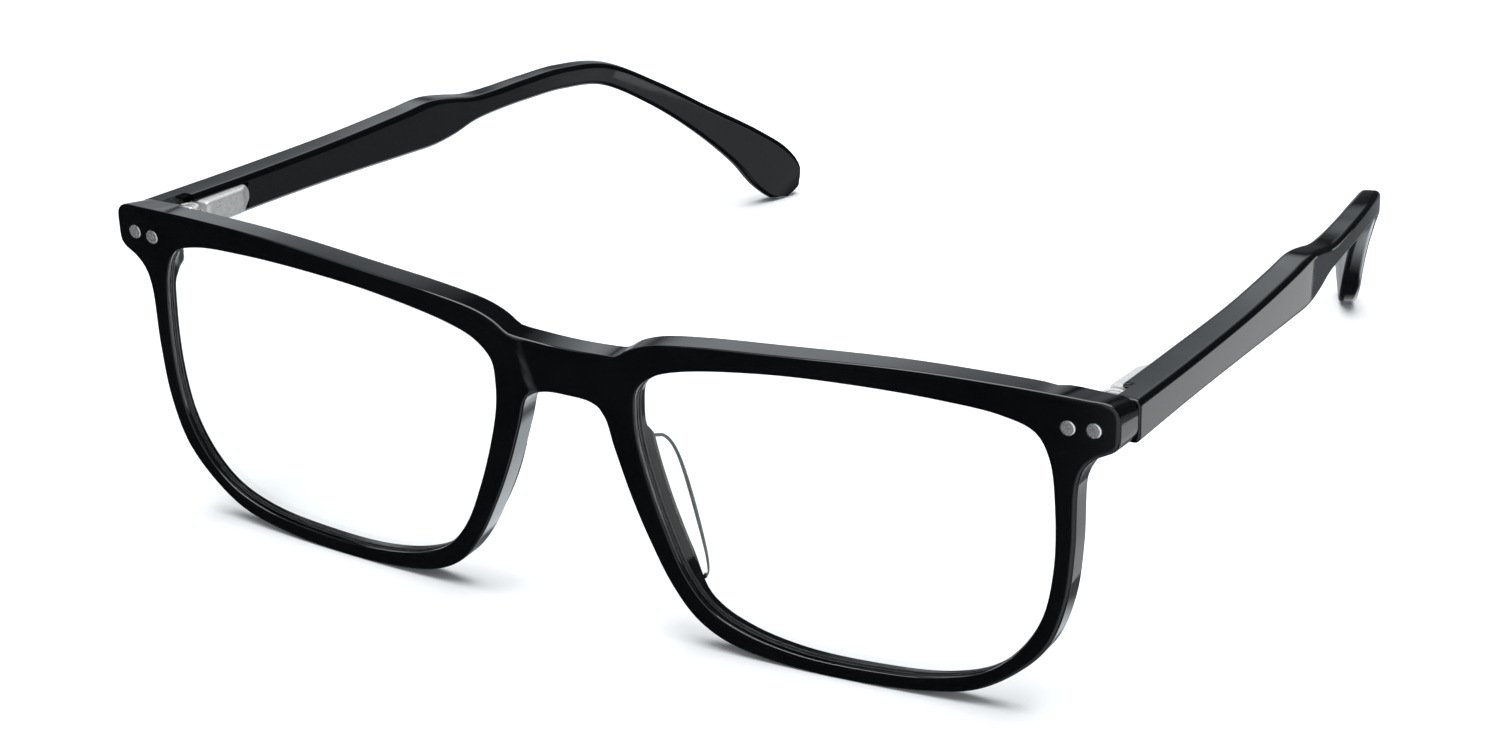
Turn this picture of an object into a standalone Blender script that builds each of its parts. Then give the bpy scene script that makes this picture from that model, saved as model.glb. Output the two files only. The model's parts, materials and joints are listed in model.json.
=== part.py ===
"""Eyeglasses: black acetate front and temples with riveted spring hinges.

Design frame, in millimetres: X to the wearer's left, Y back along the temples, Z up, with the front
standing upright at Y = 0.  The last step turns that frame a little about X, so that the rims and the
temple tips both stand on Z = 0, and converts it to metres.
"""
import math

import bmesh
import bpy
from mathutils import Matrix, Vector
from mathutils.geometry import delaunay_2d_cdt

MM = 0.001

# Stance: the whole part is turned about X and shifted, so that it stands on its rims and tips.
STANCE_TILT = math.radians(1.2)
STANCE_BACK = -68.04
STANCE_UP = 19.99

# Front
FACE_SLOPE = 0.0019
FACE_START = -0.4
FACE_CURVE = 0.00096
RIM_THICKNESS = 3.35
RIM_THINNING = 0.4
EDGE_ROUND = 0.5
LIP_ROUND = 0.3
RIM_CENTRE_X = 35.6
END_PIECE_BACK = 9.1
END_PIECE_START = 60.6
END_PIECE_FULL = 62.4
END_TOP_DROOP = 0.24
END_BOTTOM_DROOP = 0.10
BRIDGE_SCOOP = 0.8
SCOOP_POWER = 3.0
CREASE_TOP = (7.4, 16.2)
CREASE_BOTTOM = (5.2, 8.4)
OUTLINE_STEP = 2.6
# Half of the outline, from the bridge's top round to its underside.
OUTER_HALF = [(0.0, 15.4), (4.2, 15.6), (7.4, 16.2), (9.3, 17.4), (12.0, 18.4), (18.0, 19.3),
              (28.0, 20.1), (44.0, 21.1), (56.0, 21.1), (65.4, 20.7), (67.8, 20.5), (68.8, 19.7),
              (69.0, 17.5), (68.8, 15.4), (68.0, 14.6), (66.6, 13.9), (65.1, 12.5), (64.3, 10.3),
              (63.9, 2.0), (63.0, -5.0), (60.8, -10.9), (57.0, -15.0), (52.0, -18.1), (45.5, -19.5),
              (36.5, -20.1), (27.0, -19.7), (20.5, -18.4), (16.6, -16.1), (13.6, -12.4),
              (10.8, -7.0), (8.5, -1.5), (6.6, 4.2), (5.2, 8.4), (3.4, 9.15), (0.0, 9.3)]
LENS_OPENING = [(9.7, 9.4), (10.1, 12.3), (12.2, 14.4), (16.0, 15.8), (27.0, 17.5), (38.0, 18.1),
                (48.0, 18.0), (55.5, 17.3), (59.3, 15.9), (60.9, 13.0), (61.6, 6.5), (61.4, -1.0),
                (60.1, -7.2), (57.4, -11.9), (53.6, -15.3), (48.0, -17.3), (39.0, -18.2),
                (30.0, -18.1), (23.0, -16.7), (18.7, -14.6), (15.6, -10.9), (13.0, -5.0),
                (11.0, 1.2), (9.9, 6.0)]

# Lens groove, measured back from the front surface, and the lens in it
GROOVE_MIDDLE = 1.5
GROOVE_MOUTH = 0.9
GROOVE_FLOOR = 0.25
GROOVE_DEPTH = 1.3
LENS_CLEARANCE = 0.3
LENS_HALF = 0.8
BEVEL_ROOT = 0.5
BEVEL_TIP = 0.12
BEVEL_REACH = 0.85
LENS_DOME = 1.2
LENS_SCALES = (0.1, 0.5, 0.8, 1.0)

# Nose side: the rim's back is built up towards the lens, and a clear pad is glued on it.
BUILD_UP = 1.3
BUILD_UP_TOP = (7.2, 5.0)
BUILD_UP_BOTTOM = (-9.0, -14.0)
BUILD_UP_SIDE = 19.0
PAD_TOP = 4.4
PAD_HEIGHT = 17.2
PAD_ROOT_X = 8.5
PAD_LEAN = 0.24
PAD_BEND = 0.0095
PAD_REACH = 3.3
PAD_STANDOFF = 1.65
PAD_HALF = 0.85
PAD_SPLAY = math.radians(28.0)
PAD_SECTIONS = 10
PAD_SHAPE = [(0.0, -1.0), (0.6, -0.9), (0.95, -0.6), (1.0, 0.0), (0.95, 0.6), (0.6, 0.9), (0.0, 1.0)]

# Hinge: the pin stands behind the end piece, in line with the case.  The right pin leans outward at its
# top, so that the right temple folds over the left one.
PIN = (64.4, 12.6, 16.15)
RIGHT_PIN_LEAN = math.radians(4.0)
KNUCKLE_RADIUS = 1.5
KNUCKLE_BORE = 0.62
KNUCKLE_END = 1.5
EYE_HALF_HEIGHT = 0.6
KNUCKLE_GAP = 0.06
WEB_HALF = 0.9
HEAD_HEIGHT = 0.6
PLATE_FRONT = 8.1
PLATE_BACK = 9.05
PLATE_INNER = 61.4
PLATE_OUTER = 67.3
PLATE_LOW = 14.5
PLATE_HIGH = 18.3
PLATE_GAP = 0.15
PLATE_BITE = 0.4
SCREW_RADIUS = 0.55
HEAD_RADIUS = 0.95
RIVET_RADIUS = 0.9
RIVET_HOLE = 1.0
RIVETS = {"inner": (63.1, 17.1), "outer": (66.05, 17.2)}
PITCH = math.radians(6.5)
CASE_START = 2.0
CASE_END = 12.3
CASE_OUTER = 1.45
CASE_INNER = -1.45
CASE_HALF_HEIGHT = 1.65
CASE_ROUND = 1.5
CASE_SOFT = 0.45
CASE_TAPER = 1.3
CASE_TAPER_START = 9.0
CHAMBER_START = 3.2
CHAMBER_END = 9.6
CHAMBER_HALF = 1.08
ROD_RADIUS = 0.45
ROD_BORE = 0.62
SPRING_RADIUS = 0.8
SPRING_WIRE = 0.16
SPRING_TURNS = 5
STEPS_PER_TURN = 10
WIRE_SIDES = 6
SPRING_START = 3.45
SPRING_END = 8.2
STOP_RADIUS = 0.85
STOP_LENGTH = 0.9
STOP_GAP = 0.05

# Temple stations: Y, X, Z, height and thickness of the section
TEMPLE_STATIONS = [(9.4, 67.0, 16.5, 5.2, 4.3), (26.0, 66.5, 14.7, 4.9, 4.3),
                   (46.0, 65.9, 12.45, 5.3, 4.0), (60.0, 65.3, 11.0, 6.2, 3.9),
                   (66.0, 65.0, 10.45, 6.6, 3.8), (70.6, 64.65, 9.9, 5.5, 3.6),
                   (75.0, 64.3, 9.5, 3.8, 3.4), (80.0, 63.9, 9.05, 3.2, 3.3),
                   (88.0, 63.1, 8.35, 3.2, 3.1), (96.0, 62.0, 7.45, 3.3, 3.0),
                   (104.5, 60.1, 5.4, 3.3, 2.8), (113.0, 56.6, -0.1, 3.6, 2.7),
                   (120.6, 53.0, -6.4, 4.5, 2.7), (127.7, 49.6, -12.9, 6.5, 2.8),
                   (131.6, 47.6, -17.4, 7.9, 2.8), (133.9, 46.4, -20.4, 6.6, 2.4),
                   (134.8, 45.9, -21.8, 3.6, 1.6)]
TEMPLE_ROUND = 1.0
TEMPLE_STEP = 3.6
POCKET_GAP = 0.15
TONGUE_GAP = 0.4
PAST = 6.0
CORE_RADIUS = 0.6
CORE_CHANNEL = 0.72
CORE_START = 25.0
CORE_END = 126.0

BLACK = ("acetate_black", (0.012, 0.013, 0.015), 0.08, 0.0)
CLEAR = ("lens_clear", (0.95, 0.97, 0.97), 0.02, 0.0)
PAD = ("pad_clear", (0.9, 0.92, 0.93), 0.1, 0.0)
SATIN = ("steel_satin", (0.72, 0.72, 0.70), 0.3, 1.0)
BRIGHT = ("steel_bright", (0.78, 0.78, 0.78), 0.15, 1.0)


# ---------------------------------------------------------------- curves and functions

def smoothstep(value, start, end):
    """0 before start, 1 after end, smooth between (end may be below start)."""
    t = min(max((value - start) / (end - start), 0.0), 1.0)
    return t * t * (3.0 - 2.0 * t)


def spline_point(rows, index, t, closed):
    """A point of the Catmull-Rom curve through rows, between rows index and index + 1."""
    count = len(rows)

    def row(i):
        return rows[i % count] if closed else rows[min(max(i, 0), count - 1)]

    p0, p1, p2, p3 = row(index - 1), row(index), row(index + 1), row(index + 2)
    d = [math.dist(a[:2], b[:2]) ** 0.5 or 1.0 for a, b in ((p0, p1), (p1, p2), (p2, p3))]
    point = []
    for a, b, c, e in zip(p0, p1, p2, p3):
        m1 = (c - b) + d[1] * ((b - a) / d[0] - (c - a) / (d[0] + d[1]))
        m2 = (c - b) + d[1] * ((e - c) / d[2] - (e - b) / (d[1] + d[2]))
        point.append((2 * (b - c) + m1 + m2) * t ** 3 + (3 * (c - b) - 2 * m1 - m2) * t ** 2 + m1 * t + b)
    return tuple(point)


def sample_curve(rows, step, closed=True):
    """Points along the curve through rows, each span cut into equal steps of about step."""
    points = []
    spans = len(rows) if closed else len(rows) - 1
    for index in range(spans):
        length = math.dist(rows[index][:2], rows[(index + 1) % len(rows)][:2])
        cuts = max(1, round(length / step))
        points += [spline_point(rows, index, k / cuts, closed) for k in range(cuts)]
    if not closed:
        points.append(rows[-1])
    return points


def outward_normals(loop):
    """Unit normals in the loop's plane; they point out of a loop that runs clockwise."""
    normals = []
    count = len(loop)
    for i in range(count):
        before, after = loop[i - 1], loop[(i + 1) % count]
        direction = Vector((after[0] - before[0], after[1] - before[1])).normalized()
        normals.append((-direction.y, direction.x))
    return normals


def offset_loop(loop, distance):
    """The loop moved outward by distance."""
    return [(p[0] + n[0] * distance, p[1] + n[1] * distance) for p, n in zip(loop, outward_normals(loop))]


def inside(point, loop):
    """True if the point is inside the closed loop."""
    x, z = point
    result = False
    for (x1, z1), (x2, z2) in zip(loop, loop[1:] + loop[:1]):
        if (z1 > z) != (z2 > z) and x < (x2 - x1) * (z - z1) / (z2 - z1) + x1:
            result = not result
    return result


# ---------------------------------------------------------------- objects and materials

STANCE = (Matrix.Scale(MM, 4) @ Matrix.Translation((0.0, STANCE_BACK, STANCE_UP))
          @ Matrix.Rotation(STANCE_TILT, 4, "X"))


def material(spec):
    name, color, roughness, metallic = spec
    found = bpy.data.materials.get(name)
    if found:
        return found
    new = bpy.data.materials.new(name)
    new.use_nodes = True
    shader = new.node_tree.nodes["Principled BSDF"]
    shader.inputs["Base Color"].default_value = (*color, 1.0)
    shader.inputs["Roughness"].default_value = roughness
    shader.inputs["Metallic"].default_value = metallic
    return new


def add_object(name, bm, spec, side=1, pivot=None):
    """Places the design mesh on its side of the part, with its origin on pivot if there is one."""
    bmesh.ops.transform(bm, matrix=Matrix.Diagonal((side, 1.0, 1.0, 1.0)), verts=bm.verts)
    bmesh.ops.transform(bm, matrix=STANCE, verts=bm.verts)
    bmesh.ops.recalc_face_normals(bm, faces=bm.faces)
    origin = pivot.matrix_world.translation if pivot else Vector()
    bmesh.ops.translate(bm, vec=-origin, verts=bm.verts)
    mesh = bpy.data.meshes.new(name)
    bm.to_mesh(mesh)
    bm.free()
    mesh.materials.append(material(spec))
    mesh.shade_smooth()
    mesh.set_sharp_from_angle(angle=math.radians(35.0))
    thing = bpy.data.objects.new(name, mesh)
    bpy.context.scene.collection.objects.link(thing)
    if pivot:
        thing.parent = pivot
    return thing


def add_boolean(thing, name, bm, operation, side=1):
    """Cuts the shape bm from thing, or joins it on, with a hidden operand."""
    operand = add_object(f"{thing.name}.{name}", bm, BLACK, side)
    operand.hide_render = True
    operand.display_type = "WIRE"
    modifier = thing.modifiers.new(name, "BOOLEAN")
    modifier.operation = operation
    modifier.solver = "EXACT"
    modifier.object = operand


def add_pivot(name, side):
    """An empty on the hinge pin's axis; the pieces that turn with the temple hang from it."""
    pivot = bpy.data.objects.new(name, None)
    bpy.context.scene.collection.objects.link(pivot)
    pivot.location = STANCE @ Vector((side * PIN[0], PIN[1], PIN[2]))
    bpy.context.view_layer.update()
    return pivot


def bridge(bm, ring_a, ring_b):
    """Quads between two closed rings of the same length."""
    count = len(ring_a)
    for i in range(count):
        j = (i + 1) % count
        bm.faces.new((ring_a[i], ring_a[j], ring_b[j], ring_b[i]))


def loft(rings, capped=True):
    """A body through rings of points; the first and last ring are closed with a face."""
    bm = bmesh.new()
    made = [[bm.verts.new(p) for p in ring] for ring in rings]
    for ring_a, ring_b in zip(made, made[1:]):
        bridge(bm, ring_a, ring_b)
    if capped:
        bm.faces.new(made[0])
        bm.faces.new(made[-1])
    return bm


def turned(profile, matrix, sides=16):
    """A turned body: profile holds (radius, height) pairs, and matrix places the Z axis."""
    rings = []
    for radius, height in profile:
        angles = [2.0 * math.pi * k / sides for k in range(sides)]
        rings.append([matrix @ Vector((radius * math.cos(a), radius * math.sin(a), height)) for a in angles])
    return loft(rings)


def tube_ring(outer, inner, low, high, matrix, sides=20):
    """A plain ring: a cylinder with a bore right through."""
    bm = bmesh.new()
    rings = []
    for radius, height in ((outer, low), (outer, high), (inner, high), (inner, low)):
        angles = [2.0 * math.pi * k / sides for k in range(sides)]
        rings.append([bm.verts.new(matrix @ Vector((radius * math.cos(a), radius * math.sin(a), height)))
                      for a in angles])
    for ring_a, ring_b in zip(rings, rings[1:] + rings[:1]):
        bridge(bm, ring_a, ring_b)
    return bm


def block(low, high, matrix=None):
    """A box from its low corner to its high corner."""
    bm = bmesh.new()
    bmesh.ops.create_cube(bm, size=1.0)
    for vert in bm.verts:
        vert.co = [a + (b - a) * (c + 0.5) for a, b, c in zip(low, high, vert.co)]
    if matrix:
        bmesh.ops.transform(bm, matrix=matrix, verts=bm.verts)
    return bm


def stand_flat(bm):
    """Cuts a small flat foot on Z = 0 where the body would reach below it."""
    to_stance = STANCE.inverted()
    point = to_stance @ Vector((0.0, 0.0, 0.0))
    normal = (to_stance.to_3x3() @ Vector((0.0, 0.0, -1.0))).normalized()
    geometry = bm.verts[:] + bm.edges[:] + bm.faces[:]
    bmesh.ops.bisect_plane(bm, geom=geometry, plane_co=point, plane_no=normal, clear_outer=True)
    bmesh.ops.holes_fill(bm, edges=[edge for edge in bm.edges if edge.is_boundary], sides=0)


# ---------------------------------------------------------------- front

def crease_x(z):
    """Half width of the bridge's hollow face at the height z."""
    t = (z - CREASE_BOTTOM[1]) / (CREASE_TOP[1] - CREASE_BOTTOM[1])
    return CREASE_BOTTOM[0] + t * (CREASE_TOP[0] - CREASE_BOTTOM[0])


def arc_y(x):
    """The plain arc of the front, seen from above."""
    return FACE_START + FACE_SLOPE * abs(x) + FACE_CURVE * x * x


def hollow(x, z):
    """How far the bridge's face and back are set back from the plain arc."""
    x = abs(x)
    if z < CREASE_BOTTOM[1] - 1.0 or x > crease_x(z):
        return 0.0
    return BRIDGE_SCOOP * (1.0 - (x / crease_x(z)) ** SCOOP_POWER)


def face_y(x, z):
    """The front surface: a shallow arc, hollowed at the bridge."""
    return arc_y(x) + hollow(x, z)


def back_y(x, z, lens_side):
    """The back surface: thicker at the end pieces and at the lens side of the nose."""
    y = arc_y(x) + hollow(x, z) + RIM_THICKNESS - RIM_THINNING * smoothstep(abs(x), 30.0, 58.0)
    y += (END_PIECE_BACK - y) * smoothstep(abs(x), END_PIECE_START, END_PIECE_FULL) * smoothstep(z, 10.5, 13.0)
    if lens_side and abs(x) < BUILD_UP_SIDE:
        y += BUILD_UP * smoothstep(z, *BUILD_UP_TOP) * smoothstep(z, BUILD_UP_BOTTOM[1], BUILD_UP_BOTTOM[0])
    return y


def front_point(x, z, depth, from_back, lens_side=False):
    """A point depth behind the front surface, or depth in front of the back surface."""
    y = back_y(x, z, lens_side) - depth if from_back else face_y(x, z) + depth
    end = smoothstep(abs(x), END_PIECE_START - 2.0, END_PIECE_FULL) * smoothstep(z, 11.0, 13.5)
    droop = END_BOTTOM_DROOP + (END_TOP_DROOP - END_BOTTOM_DROOP) * smoothstep(z, 15.0, 20.0)
    behind = y - face_y(x, z)
    return Vector((x, y, z - droop * end * behind * behind / (END_PIECE_BACK - face_y(x, z))))


def front_frame():
    half = OUTER_HALF
    outline = half + [(-x, z) for x, z in reversed(half[1:-1])]
    outer = sample_curve(outline, OUTLINE_STEP)
    openings = []
    for side in (1, -1):
        loop = sample_curve([(x * side, z) for x, z in LENS_OPENING][::side], OUTLINE_STEP)
        openings.append(loop)
    bm = bmesh.new()
    wall = [(-EDGE_ROUND, 0.0, False), (-0.3 * EDGE_ROUND, 0.3 * EDGE_ROUND, False),
            (0.0, EDGE_ROUND, False), (0.0, EDGE_ROUND, True),
            (-0.3 * EDGE_ROUND, 0.3 * EDGE_ROUND, True), (-EDGE_ROUND, 0.0, True)]
    lip = [(LIP_ROUND, 0.0, False), (0.0, LIP_ROUND, False),
           (0.0, GROOVE_MIDDLE - GROOVE_MOUTH, False),
           (GROOVE_DEPTH, GROOVE_MIDDLE - GROOVE_FLOOR, False),
           (GROOVE_DEPTH, GROOVE_MIDDLE + GROOVE_FLOOR, False),
           (0.0, GROOVE_MIDDLE + GROOVE_MOUTH, False), (0.0, LIP_ROUND, True), (LIP_ROUND, 0.0, True)]
    flat_points = []
    edges = []
    front_verts = []
    back_verts = []
    for loop, profile, lens_side in ((outer, wall, False), (openings[0], lip, True), (openings[1], lip, True)):
        rings = []
        for offset, depth, from_back in profile:
            moved = offset_loop(loop, offset)
            rings.append([bm.verts.new(front_point(x, z, depth, from_back, lens_side)) for x, z in moved])
        for ring_a, ring_b in zip(rings, rings[1:]):
            bridge(bm, ring_a, ring_b)
        start = len(flat_points)
        count = len(loop)
        flat_points += offset_loop(loop, profile[0][0])
        edges += [(start + i, start + (i + 1) % count) for i in range(count)]
        front_verts += rings[0]
        back_verts += rings[-1]
    triangles = delaunay_2d_cdt([Vector(p) for p in flat_points], edges, [], 0, 1e-6)[2]
    holes = [flat_points[len(outer):len(outer) + len(openings[0])], flat_points[len(outer) + len(openings[0]):]]
    rim = flat_points[:len(outer)]
    for triangle in triangles:
        centre = tuple(sum(flat_points[i][k] for i in triangle) / 3.0 for k in (0, 1))
        if inside(centre, rim) and not any(inside(centre, hole) for hole in holes):
            bm.faces.new([front_verts[i] for i in triangle])
            bm.faces.new([back_verts[i] for i in triangle])
    stand_flat(bm)
    frame = add_object("front_frame", bm, BLACK)
    for side, name in ((1, "left"), (-1, "right")):
        for rivet, (x, z) in RIVETS.items():
            hole = turned([(RIVET_HOLE, 0.0), (RIVET_HOLE, 12.0)], along_y(x, 1.0, z), 12)
            add_boolean(frame, f"hole_{rivet}_{name}", hole, "DIFFERENCE", side)
        recess = block((PLATE_INNER - PLATE_GAP, PLATE_FRONT - PLATE_GAP, PLATE_LOW - PLATE_GAP),
                       (PLATE_OUTER + PLATE_GAP, 12.0, PLATE_HIGH + PLATE_GAP))
        add_boolean(frame, f"recess_{name}", recess, "DIFFERENCE", side)


def along_y(x, y, z):
    """A frame at the point whose Z axis runs back along the design's Y."""
    return Matrix.Translation((x, y, z)) @ Matrix.Rotation(-math.pi / 2.0, 4, "X")


def lens(side, name):
    loop = sample_curve(LENS_OPENING, OUTLINE_STEP)

    def ring(scale, offset, depth):
        points = []
        for x, z in offset_loop(loop, offset):
            x = RIM_CENTRE_X + (x - RIM_CENTRE_X) * scale
            dome = LENS_DOME * (1.0 - scale * scale)
            points.append(Vector((x, arc_y(x) + GROOVE_MIDDLE + depth - dome, z * scale)))
        return points

    edge = -LENS_CLEARANCE
    rings = [ring(s, edge, -LENS_HALF) for s in LENS_SCALES]
    rings += [ring(1.0, edge, -BEVEL_ROOT), ring(1.0, BEVEL_REACH, -BEVEL_TIP),
              ring(1.0, BEVEL_REACH, BEVEL_TIP), ring(1.0, edge, BEVEL_ROOT)]
    rings += [ring(s, edge, LENS_HALF) for s in reversed(LENS_SCALES)]
    add_object(f"lens_{name}", loft(rings), CLEAR, side)


def nose_pad(side, name):
    """A clear pad: a fin that stands back from the rim and splays out, with a D-shaped rear edge."""
    back = Vector((math.sin(PAD_SPLAY), math.cos(PAD_SPLAY), 0.0))
    across = Vector((back.y, -back.x, 0.0))
    rings = []
    for k in range(PAD_SECTIONS + 1):
        t = k / PAD_SECTIONS
        drop = t * PAD_HEIGHT
        root_x = PAD_ROOT_X + PAD_LEAN * drop + PAD_BEND * drop * drop
        root_y = arc_y(root_x) + RIM_THICKNESS + PAD_STANDOFF
        root = Vector((root_x, root_y, PAD_TOP - drop))
        reach = PAD_REACH * math.sqrt(max(math.sin(math.pi * t ** 0.55), 0.0)) + 0.3
        half = PAD_HALF * (0.6 + 0.4 * math.sin(math.pi * t))
        rings.append([root + back * (reach * along) + across * (half * wide) for along, wide in PAD_SHAPE])
    add_object(f"nose_pad_{name}", loft(rings), PAD, side)


# ---------------------------------------------------------------- hinge

def at_pin(side):
    """A frame on the pin of that side, with Z along it."""
    lean = RIGHT_PIN_LEAN if side < 0 else 0.0
    return Matrix.Translation(PIN) @ Matrix.Rotation(lean, 4, "Y")


def along_temple():
    """A frame on the pin, whose Z axis runs back along the temple and whose X axis is the part's X."""
    return Matrix.Translation(PIN) @ Matrix.Rotation(-math.pi / 2.0 - PITCH, 4, "X")


def hinge_plate(side, name):
    plate = block((PLATE_INNER, PLATE_FRONT, PLATE_LOW), (PLATE_OUTER, PLATE_BACK, PLATE_HIGH))
    thing = add_object(f"hinge_plate_{name}", plate, SATIN, side)
    clear_half = EYE_HALF_HEIGHT + KNUCKLE_GAP
    reach = PLATE_BACK - PLATE_BITE - PIN[1]
    arc = [math.pi * k / 10 for k in range(11)]
    outline = [(WEB_HALF, reach)]
    outline += [(KNUCKLE_RADIUS * math.cos(a), KNUCKLE_RADIUS * math.sin(a)) for a in arc]
    outline.append((-WEB_HALF, reach))
    for label, low, high in (("low", -KNUCKLE_END, -clear_half), ("high", clear_half, KNUCKLE_END)):
        rings = [[at_pin(side) @ Vector((x, y, z)) for x, y in outline] for z in (low, high)]
        add_boolean(thing, f"knuckle_{label}", loft(rings), "UNION", side)
    seat = KNUCKLE_END - HEAD_HEIGHT
    wide = HEAD_RADIUS + 0.1
    profile = [(KNUCKLE_BORE, -PAST), (KNUCKLE_BORE, seat), (wide, seat), (wide, PAST)]
    bore = turned(profile, at_pin(side), 14)
    add_boolean(thing, "bore", bore, "DIFFERENCE", side)
    for rivet, (x, z) in RIVETS.items():
        hole = turned([(RIVET_HOLE, 0.0), (RIVET_HOLE, PLATE_BACK + 0.1 - 7.0)], along_y(x, 7.0, z), 12)
        add_boolean(thing, f"hole_{rivet}", hole, "DIFFERENCE", side)


def rivets(side, name):
    for rivet, (x, z) in RIVETS.items():
        front = face_y(x, z) - 0.05
        length = PLATE_BACK - front - 0.05
        profile = [(RIVET_RADIUS - 0.12, 0.0), (RIVET_RADIUS, 0.12), (RIVET_RADIUS, length)]
        add_object(f"rivet_{rivet}_{name}", turned(profile, along_y(x, front, z), 16), SATIN, side)


def hinge_screw(side, name, pivot):
    top = KNUCKLE_END
    profile = [(SCREW_RADIUS, -top + 0.1), (SCREW_RADIUS, top - 0.55), (HEAD_RADIUS, top - 0.5),
               (HEAD_RADIUS, top - 0.1), (HEAD_RADIUS - 0.15, top + 0.05)]
    add_object(f"hinge_screw_{name}", turned(profile, at_pin(side), 16), BRIGHT, side, pivot)


def hinge_slider(side, name, pivot):
    """The eye on the screw, with the rod that runs back into the case."""
    eye = tube_ring(KNUCKLE_RADIUS - 0.1, KNUCKLE_BORE, -EYE_HALF_HEIGHT, EYE_HALF_HEIGHT, at_pin(side))
    thing = add_object(f"hinge_slider_{name}", eye, BRIGHT, side, pivot)
    rod = turned([(ROD_RADIUS, 1.0), (ROD_RADIUS, SPRING_END + STOP_GAP + STOP_LENGTH)], along_temple(), 12)
    add_boolean(thing, "rod", rod, "UNION", side)


def coil_spring(side, name, pivot):
    """A helix of round wire on the rod."""
    rings = []
    steps = SPRING_TURNS * STEPS_PER_TURN
    frame = along_temple()
    length = SPRING_END - SPRING_START - 2.0 * SPRING_WIRE
    for k in range(steps + 1):
        angle = 2.0 * math.pi * k / STEPS_PER_TURN
        height = SPRING_START + SPRING_WIRE + length * k / steps
        radial = Vector((math.cos(angle), math.sin(angle), 0.0))
        ring = []
        for j in range(WIRE_SIDES):
            turn = 2.0 * math.pi * j / WIRE_SIDES
            offset = radial * (SPRING_WIRE * math.cos(turn)) + Vector((0.0, 0.0, SPRING_WIRE * math.sin(turn)))
            ring.append(frame @ (radial * SPRING_RADIUS + Vector((0.0, 0.0, height)) + offset))
        rings.append(ring)
    add_object(f"coil_spring_{name}", loft(rings), BRIGHT, side, pivot)


def slider_stop(side, name, pivot):
    """The collar crimped on the rod's end, behind the spring."""
    low = SPRING_END + STOP_GAP
    high = low + STOP_LENGTH - 2.0 * STOP_GAP
    ring = tube_ring(STOP_RADIUS, ROD_RADIUS + STOP_GAP, low, high, along_temple(), 12)
    add_object(f"slider_stop_{name}", ring, SATIN, side, pivot)


def case_section(distance):
    """Half height and inner face of the case at a distance behind the pin, with its rounded rear end."""
    rear = max(distance - CASE_END + CASE_ROUND, 0.0) / CASE_ROUND
    half_height = CASE_HALF_HEIGHT * (0.3 + 0.7 * math.sqrt(1.0 - rear * rear))
    inner = CASE_INNER + CASE_TAPER * smoothstep(distance, CASE_TAPER_START, CASE_END)
    return half_height, inner


def spring_case(side, name, pivot):
    frame = along_temple()
    rings = []
    for distance in (CASE_START, 3.2, 5.0, 6.8, 8.4, 9.6, 10.6, 11.3, 11.9, CASE_END):
        half_height, inner = case_section(distance)
        outline = [(CASE_OUTER, -half_height), (inner + CASE_SOFT, -half_height),
                   (inner, -half_height + CASE_SOFT), (inner, half_height - CASE_SOFT),
                   (inner + CASE_SOFT, half_height), (CASE_OUTER, half_height)]
        rings.append([frame @ Vector((x, -z, distance)) for x, z in outline])
    thing = add_object(f"spring_case_{name}", loft(rings), SATIN, side, pivot)
    chamber = block((-CHAMBER_HALF, -CHAMBER_HALF, CHAMBER_START), (CASE_OUTER + 1.0, CHAMBER_HALF, CHAMBER_END),
                    frame)
    add_boolean(thing, "chamber", chamber, "DIFFERENCE", side)
    bore = turned([(ROD_BORE, CASE_START - 1.0), (ROD_BORE, CHAMBER_START + 1.0)], frame, 12)
    add_boolean(thing, "bore", bore, "DIFFERENCE", side)


# ---------------------------------------------------------------- temple

def temple_rings():
    """Rounded rectangular sections square to the temple's centre line."""
    rows = sample_curve([(y, z, x, h, t) for y, x, z, h, t in TEMPLE_STATIONS], TEMPLE_STEP, closed=False)
    rings = []
    for i, (y, z, x, height, thickness) in enumerate(rows):
        before = rows[max(i - 1, 0)]
        after = rows[min(i + 1, len(rows) - 1)]
        along = Vector((after[2] - before[2], after[0] - before[0], after[1] - before[1]))
        if i == 0:
            along = Vector((0.0, 1.0, 0.0))
        along.normalize()
        out = Vector((along.y, -along.x, 0.0)).normalized()
        up = out.cross(along)
        soft = min(TEMPLE_ROUND, 0.45 * thickness, 0.45 * height)
        ring = []
        for corner, (sign_out, sign_up) in enumerate(((1, 1), (-1, 1), (-1, -1), (1, -1))):
            for turn in (0.0, 0.25, 0.5):
                angle = math.pi * (0.5 * corner + turn)
                reach_out = sign_out * (thickness / 2.0 - soft) + soft * math.cos(angle)
                reach_up = sign_up * (height / 2.0 - soft) + soft * math.sin(angle)
                ring.append(Vector((x, y, z)) + out * reach_out + up * reach_up)
        rings.append(ring)
    return rings


def core_path():
    """Centre line of the core wire, inside the temple."""
    rows = sample_curve([(y, z, x) for y, x, z, _, _ in TEMPLE_STATIONS], TEMPLE_STEP, closed=False)
    return [Vector((x, y, z)) for y, z, x in rows if CORE_START - 4.0 < y < CORE_END]


def tube_along(path, radius, sides):
    rings = []
    for i, point in enumerate(path):
        along = (path[min(i + 1, len(path) - 1)] - path[max(i - 1, 0)]).normalized()
        out = Vector((along.y, -along.x, 0.0)).normalized()
        up = out.cross(along)
        angles = [2.0 * math.pi * k / sides for k in range(sides)]
        rings.append([point + (out * math.cos(a) + up * math.sin(a)) * radius for a in angles])
    return loft(rings)


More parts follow.
